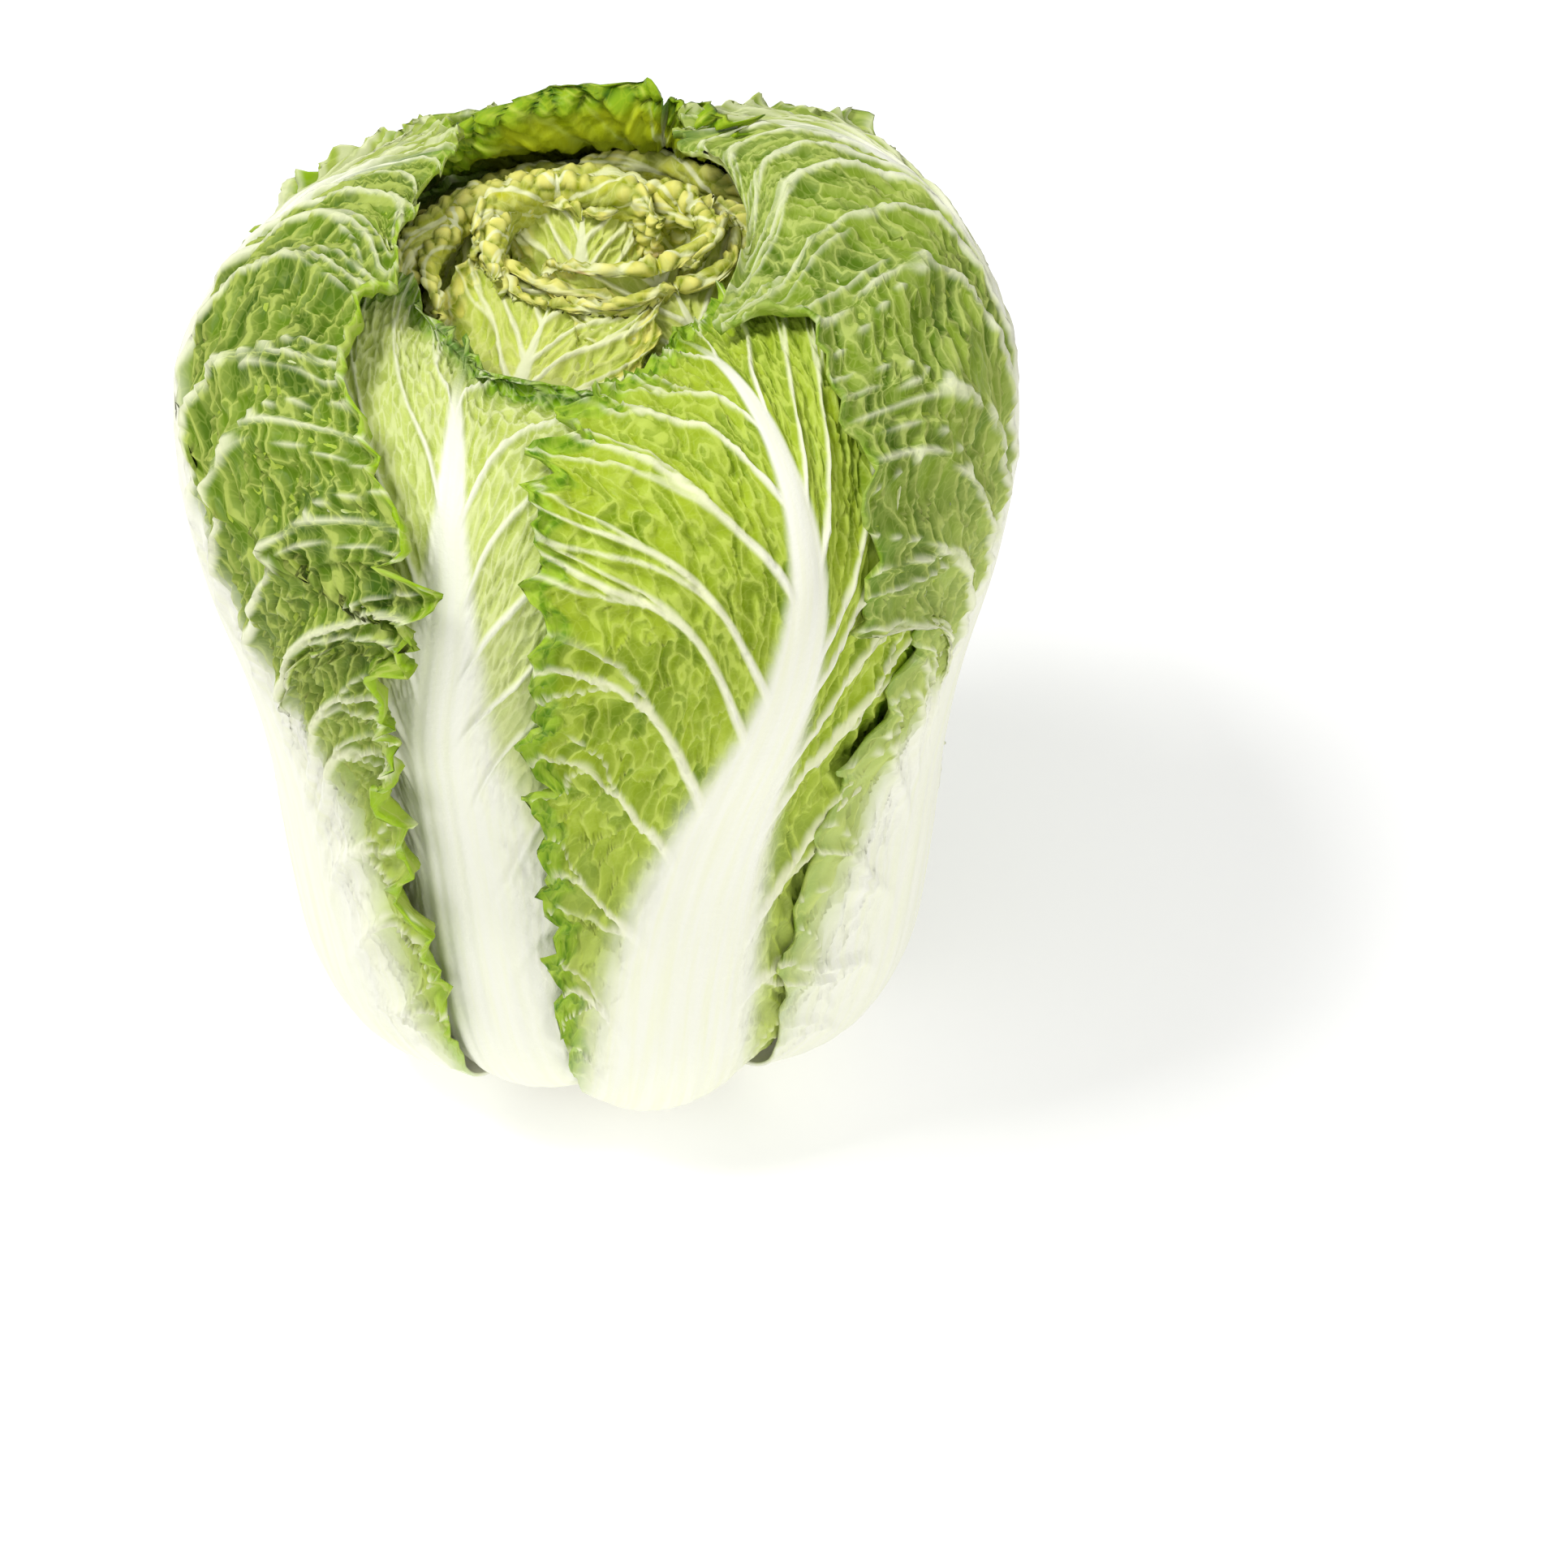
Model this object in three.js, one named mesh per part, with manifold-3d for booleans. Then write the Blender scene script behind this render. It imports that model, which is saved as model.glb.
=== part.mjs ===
// A whole napa cabbage: a stout, barrel-shaped head that stands on its cut stem.
// Millimetres, +Z up. The origin is the centre of the stem's cut face; the front faces -Y.
//
// Every leaf is one closed sheet, laid on a nested copy of the head's outline. Its surface is
// a herringbone: a row starts at the midrib and runs up and out to the margin, as a side vein
// does. Rows lie by turns on a raised side vein and in the sunken pocket between two veins.
import * as THREE from "three";
import { mergeVertices } from "three/addons/utils/BufferGeometryUtils.js";
import Module from "manifold-3d";

// ---- Driving dimensions -------------------------------------------------------------------

// The head's outline, [radius, height], from the leaf bases over the belly to the crown.
const HEAD_OUTLINE = [
  [31, 7.5], [43, 9], [56, 16], [66, 29], [73, 50], [76.5, 80], [78.5, 108], [82.5, 133],
  [88.5, 157], [92, 181], [90.5, 202], [81.5, 219], [67, 229], [51, 231.5], [36, 228], [22, 221],
];
const BLADE = 1.0; // a leaf's thickness away from its ribs
const RIB_THICKNESS = 7; // what the midrib adds at the leaf's base
const RIB_OUTWARD = 0.65; // the share of it on the leaf's outer face
const RIB_HALF_WIDTH = 27; // half the width of a leaf stalk
const RIB_TIP_SHARE = 0.08; // the midrib's width and thickness at the tip, against the base
const SIDE_VEINS = 10; // the number of side veins that would fit along a whole leaf
const VEIN_HEIGHT = 1;
const POCKET_DEPTH = 1.6;
const STALK_SHARE = 0.3; // the share of a leaf, from its base, that is bare stalk
const FRILL_START = 0.72; // how far out along a row the free edge starts to wave
const ROW_RISE = 0.64; // how far up the margin a row ends, against where it leaves the midrib
const ROW_LEAN = 0.85; // how steeply a row leaves the midrib, 0 to 1
const ROW_SPREAD = 0.35; // how soon it turns out to the margin, 0 to 1
const LEAN_POWER = 3; // a midrib leans most near its tip
// The head is flatter at the back of its crown: by this share, between these azimuths.
const BACK_FLATNESS = 0.13;
const BACK_AZIMUTHS = [40, 65, 140, 185];
const BACK_HEIGHTS = [60, 170];

const STEM_RADIUS = 28;
const STEM_OUTLINE = [
  [0, 0], [STEM_RADIUS - 1, 0], [STEM_RADIUS, 1], [STEM_RADIUS, 11], [24, 24], [16, 48], [6, 69], [0, 71],
];
// The packed leaves inside the head, down to where they sit on the stem's cone.
const HEART_OUTLINE = [
  [0, 72], [6.8, 70.4], [16.9, 48.6], [24.9, 24.8], [30, 27], [38, 34], [45, 52], [48, 82], [50, 110],
  [55, 145], [58, 175], [53, 194], [40, 203], [0, 208],
];
const ROUND_SEGMENTS = 24;
const MERGE_DISTANCE = 1e-3;

// A back leaf's own outline, under the others, whose tip stands up out of the crown.
const STANDING_OUTLINE = [
  [30, 17], [40, 18], [49.8, 23.3], [57.5, 33.5], [63.5, 52], [67, 81], [69, 109], [73, 135],
  [79, 159], [82.5, 181], [81.3, 199], [74.3, 212.5], [64, 219], [58, 224], [55.7, 234], [55, 252],
];

// Leaves that wrap the head, from the outside in. azimuth: where the stalk stands, in degrees
// from +X; lean: how far the midrib has turned at the tip; inset: the leaf's depth under the
// head's outline; length: along the midrib; rib: the midrib's size, 1 for a full one. left and
// right are the margins seen from outside with the tip up, as [distance from the midrib,
// distance from the leaf's base] at even steps of the row, from base to tip. frill is how far
// the edge waves out: [left, right, tip]. outline: what the leaf lies on, where it isn't the head's.
const WRAPPING_LEAVES = [
  {
    name: "outer_leaf_left", azimuth: 210, lean: -56, inset: 0, length: 284, rib: 1, color: 0x8aa848,
    frill: [5, 5, 3],
    left: [[12, 0], [31, 42], [42, 92], [48, 146], [50, 196], [40, 234], [29, 260], [16, 276], [0, 284]],
    right: [[12, 0], [34, 44], [45, 92], [52, 142], [82, 190], [104, 226], [82, 254], [44, 278], [0, 284]],
  },
  {
    name: "outer_leaf_right", azimuth: -26, lean: 76, inset: 0, length: 286, rib: 1, color: 0x7fa044,
    frill: [5, 5, 3],
    left: [[12, 0], [31, 42], [42, 88], [42, 140], [50, 186], [84, 206], [88, 248], [64, 280], [0, 286]],
    right: [[12, 0], [31, 42], [42, 92], [54, 146], [60, 190], [56, 226], [32, 254], [10, 274], [0, 286]],
  },
  {
    name: "outer_leaf_front_right", azimuth: -78, lean: 34, inset: 3.8, length: 296, rib: 1, color: 0x94b04c,
    frill: [5, 0, 3],
    left: [[10, 0], [21, 42], [28, 88], [33, 134], [44, 184], [51, 226], [51, 256], [37, 282], [0, 296]],
    right: [[12, 0], [31, 42], [45, 90], [55, 142], [58, 190], [52, 226], [43, 256], [25, 280], [0, 296]],
  },
  {
    name: "outer_leaf_back", azimuth: 108, lean: -8, inset: 3.8, length: 240, rib: 1, color: 0x86a646,
    frill: [0, 0, 4],
    left: [[12, 0], [31, 42], [46, 88], [60, 138], [72, 178], [74, 206], [62, 226], [36, 238], [0, 240]],
    right: [[12, 0], [31, 42], [46, 88], [60, 138], [72, 178], [74, 206], [62, 226], [36, 238], [0, 240]],
  },
  {
    name: "outer_leaf_front", azimuth: -112, lean: -6, inset: 7.8, length: 298, rib: 1, color: 0xa6be62,
    frill: [0, 0, 4],
    left: [[12, 0], [31, 42], [38, 88], [44, 140], [52, 190], [56, 226], [56, 254], [36, 282], [0, 298]],
    right: [[12, 0], [31, 42], [42, 92], [54, 146], [62, 196], [64, 230], [56, 258], [34, 286], [0, 298]],
  },
  {
    name: "outer_leaf_back_left", azimuth: 158, lean: 0, inset: 7.8, length: 262, rib: 1, color: 0x93ad50,
    frill: [0, 0, 3],
    left: [[12, 0], [31, 42], [44, 88], [52, 140], [58, 184], [58, 212], [50, 236], [32, 252], [0, 262]],
    right: [[12, 0], [31, 42], [44, 88], [50, 140], [54, 184], [54, 212], [46, 236], [30, 252], [0, 262]],
  },
  {
    name: "outer_leaf_under_right", azimuth: -32, lean: 6, inset: 9.1, length: 268, rib: 0.8, color: 0x8fae48,
    frill: [0, 0, 0],
    left: [[10, 0], [27, 42], [38, 88], [44, 138], [48, 184], [46, 218], [40, 242], [26, 260], [0, 268]],
    right: [[10, 0], [27, 42], [38, 88], [46, 138], [50, 184], [48, 218], [42, 242], [26, 260], [0, 268]],
  },
  {
    name: "standing_back_leaf", azimuth: 80, lean: -8, inset: 0, length: 262, rib: 0.7, color: 0x9dbb3f,
    outline: STANDING_OUTLINE, frill: [2, 4, 5],
    left: [[10, 0], [25, 42], [36, 88], [50, 140], [52, 182], [36, 208], [19, 228], [14, 248], [0, 262]],
    right: [[10, 0], [25, 42], [36, 88], [50, 140], [60, 182], [60, 210], [56, 230], [46, 252], [0, 262]],
  },
];

// The leaves under those, in two nested rings of three, which show between the stalks and round
// the opening.
const INNER_MARGIN = [
  [10, 0], [27, 0.13], [40, 0.34], [48, 0.52], [53, 0.7], [53, 0.82], [46, 0.92], [30, 0.98], [0, 1],
];
const INNER_LEAVES = [
  { azimuth: 24, inset: 13, length: 262 },
  { azimuth: 127, inset: 14.2, length: 234 },
  { azimuth: -80, inset: 13, length: 266 },
  { azimuth: 85, inset: 17.8, length: 244 },
  { azimuth: 200, inset: 17.8, length: 262 },
  { azimuth: -37, inset: 18.3, length: 266 },
].map((leaf, i) => {
  const margin = INNER_MARGIN.map(([across, share]) => [across, share * leaf.length]);
  const name = `inner_leaf_${i + 1}`;
  return { ...leaf, name, lean: 0, rib: 0.5, frill: [0, 0, 0], left: margin, right: margin };
});
const INNER_LEAF_COLOR = 0xb9cc6e;

// The heart's own leaves, whose tops stand out of its packed body round the opening. setback:
// how far the leaf's axis lies behind the head's; path: its midrib, [distance from that axis,
// height], from inside the packed body to the tip; halfWidth: from midrib to margin.
const HEART_LEAVES = [
  { azimuth: -98, setback: 24, halfWidth: 46, path: [[66, 150], [67, 184], [62, 199], [48, 209], [22, 219]] },
  { azimuth: -60, setback: 22, halfWidth: 30, path: [[50, 150], [51, 188], [46, 204], [36, 212], [16, 218]] },
  { azimuth: 128, setback: 0, halfWidth: 44, path: [[50, 150], [52, 188], [52, 206], [49, 216], [44, 223]] },
  { azimuth: 48, setback: 0, halfWidth: 42, path: [[50, 150], [53, 188], [53, 206], [50, 216], [44, 223]] },
  { azimuth: 100, setback: 0, halfWidth: 50, path: [[44, 150], [46, 188], [45, 208], [42, 218], [37, 225]] },
  { azimuth: 8, setback: 4, halfWidth: 36, path: [[42, 150], [44, 188], [42, 204], [37, 213], [29, 219]] },
  { azimuth: 176, setback: 4, halfWidth: 32, path: [[42, 150], [44, 188], [42, 203], [38, 211], [32, 217]] },
  { azimuth: 76, setback: 6, halfWidth: 38, path: [[31, 150], [33, 188], [32, 208], [30, 219], [26, 225]] },
  { azimuth: 150, setback: 10, halfWidth: 28, path: [[23, 150], [25, 188], [24, 206], [22, 217], [18, 223]] },
  { azimuth: 22, setback: 10, halfWidth: 26, path: [[22, 150], [24, 188], [23, 208], [20, 218], [16, 224]] },
  { azimuth: 92, setback: 12, halfWidth: 16, path: [[12, 150], [13, 188], [12, 206], [11, 216], [8, 222]] },
];

// ---- Shapes -------------------------------------------------------------------------------

const DEGREE = Math.PI / 180;
const smooth = THREE.MathUtils.smoothstep;

// A smooth line through points, as a function of 0 to 1 along it.
function lineThrough(points) {
  const corners = points.map(([x, y]) => new THREE.Vector3(x, y, 0));
  const curve = new THREE.CatmullRomCurve3(corners, false, "catmullrom", 0.5);
  return (share) => curve.getPoint(share);
}

// The outline as a function of the distance along it: radius, height and outward normal.
function outlineWalk(points, samples = 600) {
  const line = lineThrough(points);
  const places = Array.from({ length: samples + 1 }, (_, i) => line(i / samples));
  const distances = [0];
  for (let i = 1; i <= samples; i++) {
    distances.push(distances[i - 1] + places[i].distanceTo(places[i - 1]));
  }
  return (distance) => {
    const found = distances.findIndex((d) => d > distance);
    const next = found < 0 ? samples : Math.max(found, 1);
    const share = (distance - distances[next - 1]) / (distances[next] - distances[next - 1]);
    const place = places[next - 1].clone().lerp(places[next], share);
    const along = places[next].clone().sub(places[next - 1]).normalize();
    return { radius: place.x, height: place.y, normal: [along.y, -along.x] };
  };
}

// What the head's radius is multiplied by, at an angle and a height.
function flattened(angle, height) {
  const azimuth = (((angle / DEGREE) % 360) + 360) % 360;
  const [start, full, fading, end] = BACK_AZIMUTHS;
  const behind = smooth(azimuth, start, full) * (1 - smooth(azimuth, fading, end));
  return 1 - BACK_FLATNESS * behind * smooth(height, ...BACK_HEIGHTS);
}

// The two faces of a leaf at one place: row 0 to 1 from base to tip, side -1 or 1, out 0 to 1
// from the midrib to the margin.
function leafPoints(leaf, walk, margin, row, side, out) {
  const edge = margin(row + ROW_RISE * row * (1 - row));
  const start = leaf.length * row;
  const across = edge.x * (2 * out * (1 - out) * ROW_SPREAD + out * out);
  const along = start + (edge.y - start) * (2 * out * (1 - out) * ROW_LEAN + out * out);
  const place = walk(along);
  const turned = leaf.lean * (along / leaf.length) ** LEAN_POWER;
  const angle = (leaf.azimuth + turned) * DEGREE + (side * across) / place.radius;

  const pocket = 0.5 - 0.5 * Math.cos(2 * Math.PI * SIDE_VEINS * row);
  const bladeShare = smooth(row, STALK_SHARE, STALK_SHARE + 0.1);
  const sunk = POCKET_DEPTH * pocket * bladeShare * smooth(out, 0.1, 0.35) * (1 - smooth(out, 0.75, 1));
  const frill = THREE.MathUtils.lerp(leaf.frill[side < 0 ? 0 : 1], leaf.frill[2], smooth(row, 0.8, 0.92));
  const waved = frill * pocket * bladeShare * smooth(out, FRILL_START, 1);
  const middle = waved - sunk - leaf.inset;

  const taper = THREE.MathUtils.lerp(1, RIB_TIP_SHARE, smooth(along / leaf.length, 0.1, 1));
  const ribShare = Math.max(0, 1 - (across / (RIB_HALF_WIDTH * leaf.rib * taper)) ** 2) ** 2;
  const rib = RIB_THICKNESS * leaf.rib * taper * ribShare * smooth(along, -20, 40);
  const vein = VEIN_HEIGHT * (1 - pocket) * bladeShare * (1 - out) * smooth(out, 0, 0.15);
  const at = (offset) => {
    const height = place.height + place.normal[1] * offset;
    const radius = (place.radius + place.normal[0] * offset) * (leaf.round ? 1 : flattened(angle, height));
    return [radius * Math.cos(angle), radius * Math.sin(angle), height];
  };
  return {
    outer: at(middle + BLADE / 2 + rib * RIB_OUTWARD + vein),
    inner: at(middle - BLADE / 2 - rib * (1 - RIB_OUTWARD)),
  };
}

// A closed sheet between two grids of points that share their rows and columns. The last row
// is one point.
function closedSheet(rows) {
  const positions = [];
  const across = rows[0].length;
  rows.forEach((points) => points.forEach(({ outer, inner }) => positions.push(...outer, ...inner)));
  const index = [];
  const last = rows.length - 1;
  const vertex = (row, column, face) => 2 * (row * across + (row === last ? 0 : column)) + face;
  for (let row = 0; row < last; row++) {
    for (let column = 0; column < across - 1; column++) {
      const corners = (face) => [
        vertex(row, column, face), vertex(row, column + 1, face),
        vertex(row + 1, column + 1, face), vertex(row + 1, column, face),
      ];
      const [a, b, c, d] = corners(0);
      const [e, f, g, h] = corners(1);
      if (a !== b) index.push(a, b, c);
      if (c !== d) index.push(a, c, d);
      if (e !== f) index.push(e, g, f);
      if (g !== h) index.push(e, h, g);
    }
    const right = across - 1;
    index.push(vertex(row, 0, 0), vertex(row + 1, 0, 0), vertex(row + 1, 0, 1));
    index.push(vertex(row, 0, 0), vertex(row + 1, 0, 1), vertex(row, 0, 1));
    index.push(vertex(row, right, 0), vertex(row + 1, right, 1), vertex(row + 1, right, 0));
    index.push(vertex(row, right, 0), vertex(row, right, 1), vertex(row + 1, right, 1));
  }
  for (let column = 0; column < across - 1; column++) {
    index.push(vertex(0, column, 0), vertex(0, column + 1, 1), vertex(0, column + 1, 0));
    index.push(vertex(0, column, 0), vertex(0, column, 1), vertex(0, column + 1, 1));
  }
  const geometry = new THREE.BufferGeometry();
  geometry.setAttribute("position", new THREE.Float32BufferAttribute(positions, 3));
  geometry.setIndex(index);
  return geometry;
}

const BARE_ROWS = [0, 0.04, 0.08, 0.12, 0.17, 0.23, 0.29];
const BLADE_ROWS = Array.from({ length: 14 }, (_, i) => 0.35 + i * 0.05);
const COLUMNS = [0.1, 0.25, 0.5, 0.75, 0.92, 1];
const INNER_ROWS = [0, 0.05, 0.1, 0.15, 0.2, 0.3, 0.4, 0.5, 0.6, 0.7, 0.8, 0.9, 1];
const INNER_COLUMNS = [0.25, 0.6, 1];
const HEART_ROWS = [0, 0.4, 0.55, 0.65, 0.75, 0.85, 1];
const HEART_COLUMNS = [0.35, 0.7, 1];

function leafGeometry(leaf, walk, rows, outs) {
  const margins = { [-1]: lineThrough(leaf.left), 1: lineThrough(leaf.right) };
  const columns = [...outs.map((out) => [-1, out]).reverse(), [1, 0], ...outs.map((out) => [1, out])];
  return closedSheet(
    rows.map((row) => columns.map(([side, out]) => leafPoints(leaf, walk, margins[side], row, side, out))),
  );
}

// A heart leaf as a leaf on an outline of its own.
function heartLeafGeometry({ azimuth, setback, halfWidth, path }) {
  const root = path[0];
  const tip = path[path.length - 1];
  const length = tip[1] - root[1] + (root[0] - tip[0]) * 0.5;
  const margin = [0.75, 0.95, 1, 0.9, 0].map((share, i) => [
    share * halfWidth, length * [0, 0.45, 0.75, 0.95, 1][i],
  ]);
  const leaf = {
    azimuth, lean: 0, inset: 0, length, rib: 0.25, frill: [2.5, 2.5, 2.5], left: margin, right: margin,
    round: true,
  };
  const geometry = leafGeometry(leaf, outlineWalk(path), HEART_ROWS, HEART_COLUMNS);
  return geometry.translate(0, setback, 0);
}

function roundGeometry(outline) {
  const profile = outline.map(([radius, height]) => new THREE.Vector2(radius, height));
  return new THREE.LatheGeometry(profile, ROUND_SEGMENTS).rotateX(Math.PI / 2);
}

// The geometries as one solid, with any sealed hollow between them filled.
function fused(geometries) {
  const solids = geometries.map((geometry) => {
    const bare = new THREE.BufferGeometry().setAttribute("position", geometry.getAttribute("position"));
    const merged = mergeVertices(bare.setIndex(geometry.getIndex()), MERGE_DISTANCE);
    const vertProperties = merged.attributes.position.array;
    const triVerts = merged.index.array;
    return new wasm.Manifold(new wasm.Mesh({ numProp: 3, vertProperties, triVerts }));
  });
  const bodies = solids.reduce((all, solid) => all.add(solid)).decompose();
  const outer = bodies.reduce((most, body) => (body.volume() > most.volume() ? body : most));
  const { vertProperties, triVerts } = outer.getMesh();
  return new THREE.BufferGeometry()
    .setAttribute("position", new THREE.BufferAttribute(vertProperties, 3))
    .setIndex(new THREE.BufferAttribute(triVerts, 1));
}

// ---- The head -----------------------------------------------------------------------------

const wasm = await Module();
wasm.setup();
const head = new THREE.Group();

function add(name, geometry, color, roughness) {
  const mesh = new THREE.Mesh(geometry, new THREE.MeshStandardMaterial({ color, roughness, metalness: 0 }));
  mesh.name = name;
  head.add(mesh);
}

const headWalk = outlineWalk(HEAD_OUTLINE);
add("stem", roundGeometry(STEM_OUTLINE), 0xf4efe0, 0.7);
for (const leaf of WRAPPING_LEAVES) {
  const walk = leaf.outline ? outlineWalk(leaf.outline) : headWalk;
  add(leaf.name, leafGeometry(leaf, walk, [...BARE_ROWS, ...BLADE_ROWS], COLUMNS), leaf.color, 0.5);
}
for (const leaf of INNER_LEAVES) {
  add(leaf.name, leafGeometry(leaf, headWalk, INNER_ROWS, INNER_COLUMNS), INNER_LEAF_COLOR, 0.5);
}
add("heart", fused([roundGeometry(HEART_OUTLINE), ...HEART_LEAVES.map(heartLeafGeometry)]), 0xdbe08a, 0.55);

export default head;
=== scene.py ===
import math

import bpy
import numpy as np
from mathutils import Euler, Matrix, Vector


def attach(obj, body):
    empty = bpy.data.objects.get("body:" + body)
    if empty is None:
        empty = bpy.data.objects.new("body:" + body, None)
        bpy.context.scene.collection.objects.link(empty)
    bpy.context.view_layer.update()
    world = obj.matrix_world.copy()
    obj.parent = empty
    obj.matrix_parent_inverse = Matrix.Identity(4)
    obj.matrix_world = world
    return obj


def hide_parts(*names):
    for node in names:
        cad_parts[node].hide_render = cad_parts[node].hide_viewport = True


# A whole napa cabbage that stands on its cut stem. The shapes are worked out in millimetres, in
# the frame's axes, and turned to metres as each mesh is made.
#
# Every leaf is a closed sheet laid on a nested copy of the head's outline, as in the frame, or on
# an outline of its own, with its veins, blisters, waves and curled edges modelled. A leaf's
# surface is a herringbone: row 0 to 1 runs up the midrib, and a row goes up and out from the
# midrib (out 0) to the margin (out 1), as a side vein does.

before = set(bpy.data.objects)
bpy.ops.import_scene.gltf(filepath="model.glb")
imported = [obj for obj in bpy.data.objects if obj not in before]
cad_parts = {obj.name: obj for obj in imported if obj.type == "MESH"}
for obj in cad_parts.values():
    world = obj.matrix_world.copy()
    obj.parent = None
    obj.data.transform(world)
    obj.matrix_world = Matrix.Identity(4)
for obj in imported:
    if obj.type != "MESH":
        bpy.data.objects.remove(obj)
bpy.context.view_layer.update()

MM = 0.001

# ---- The frame's dimensions ----------------------------------------------------------------

# The head's outline, [radius, height], from the leaf bases over the belly to the crown.
HEAD_OUTLINE = [
    [31, 7.5], [43, 9], [56, 16], [66, 29], [73, 50], [76.5, 80], [78.5, 108], [82.5, 133],
    [88.5, 157], [92, 181], [90.5, 202], [81.5, 219], [67, 229], [51, 231.5], [36, 228], [22, 221],
]
RIB_THICKNESS = 7  # what the midrib adds at the leaf's base
RIB_OUTWARD = 0.65  # the share of it on the leaf's outer face
RIB_HALF_WIDTH = 27  # half the width of a leaf stalk
RIB_TIP_SHARE = 0.08  # the midrib's width and thickness at the tip, against the base
ROW_RISE = 0.64  # how far up the margin a row ends, against where it leaves the midrib
ROW_LEAN = 0.85  # how steeply a row leaves the midrib, 0 to 1
ROW_SPREAD = 0.35  # how soon it turns out to the margin, 0 to 1
LEAN_POWER = 3  # a midrib leans most near its tip
# The head is flatter at the back of its crown: by this share, which fades in and out between
# these azimuths and in between these heights.
BACK_FLATNESS = 0.13
BACK_AZIMUTHS = [40, 65, 140, 185]
BACK_HEIGHTS = [60, 170]
# A back leaf's own outline, under the others, whose tip stands up out of the crown. The last six
# points are the scene's own: there the edge rolls outwards.
STANDING_OUTLINE = [
    [30, 17], [40, 18], [49.8, 23.3], [57.5, 33.5], [63.5, 52], [67, 81], [69, 109], [73, 135],
    [79, 159], [82.5, 181], [81.3, 199], [74.3, 212.5], [64, 219], [58, 223], [55.5, 230],
    [55.5, 236], [58, 240.5], [62, 241.5], [64.5, 238.5],
]

# ---- Finer dimensions ----------------------------------------------------------------------

BLADE = 0.8  # a leaf's thickness away from its ribs
SIDE_VEINS = 14  # the number of side veins that would fit along a whole leaf
STRAND_WIDTH = 5.5  # the width of a ridge along a stalk
COLUMN_CROWDING = 0.35  # how much closer the mesh's columns are at the margin
LAST_ROW = 0.992  # the rows stop just short of the tip, which leaves a small blunt end
STALK_SHARE = 0.05  # the share of a leaf, from its base, that has no side veins
ROW_SLANT = 0.8  # distance across the side veins, against distance along the midrib
EDGE_BAND = 8  # how far the look of the margin reaches in
LIP_RADIUS = 3.2  # how tightly a tip's edge rolls outwards
TUCK = 1.5  # how far a calm margin is pressed against the leaf under it
CELL = 6  # the size of the cells that the small veins make
CELL_PEAK = 0.2  # how far a cell's ends point out into the next lanes of cells
CROWDED_GAP = 0.6  # veins get thinner where rows are closer than this share of a leaf's length
CELL_KINDS = 97  # how many different tints and depths the cells have
CELL_PULL = (31, 7, 3)  # spreads those kinds over the bands, lanes and cells of a leaf
TOOTH_LENGTH = 4  # the length of the margin's teeth
TIP_LOBE_LENGTH = 22  # the length of the lobes along a tip
FOLD_LENGTH = 24  # the length of a leaf's folds, round the head
CURL_LENGTH = 30  # how long a stretch of the edge curls alike
BUBBLE_SLOPE = 0.62  # a smaller one gives the round blisters broader tops
NOWHERE = 1e3  # a distance that is farther than any on a leaf
HALF_SEEDS = 500  # a leaf's right half has the left one's seed and this
FOLD_SEED, BUBBLE_SEED = 7, 3  # what the folds and round blisters add to the seed
WRAPPING_SEED, INNER_SEED, HEART_SEED, CORE_SEED = 10, 40, 80, 7  # the first seed of each kind
MIDRIB_FREE = [0.86, 1]  # the share of a leaf over which its tip starts to follow its midrib

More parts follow.
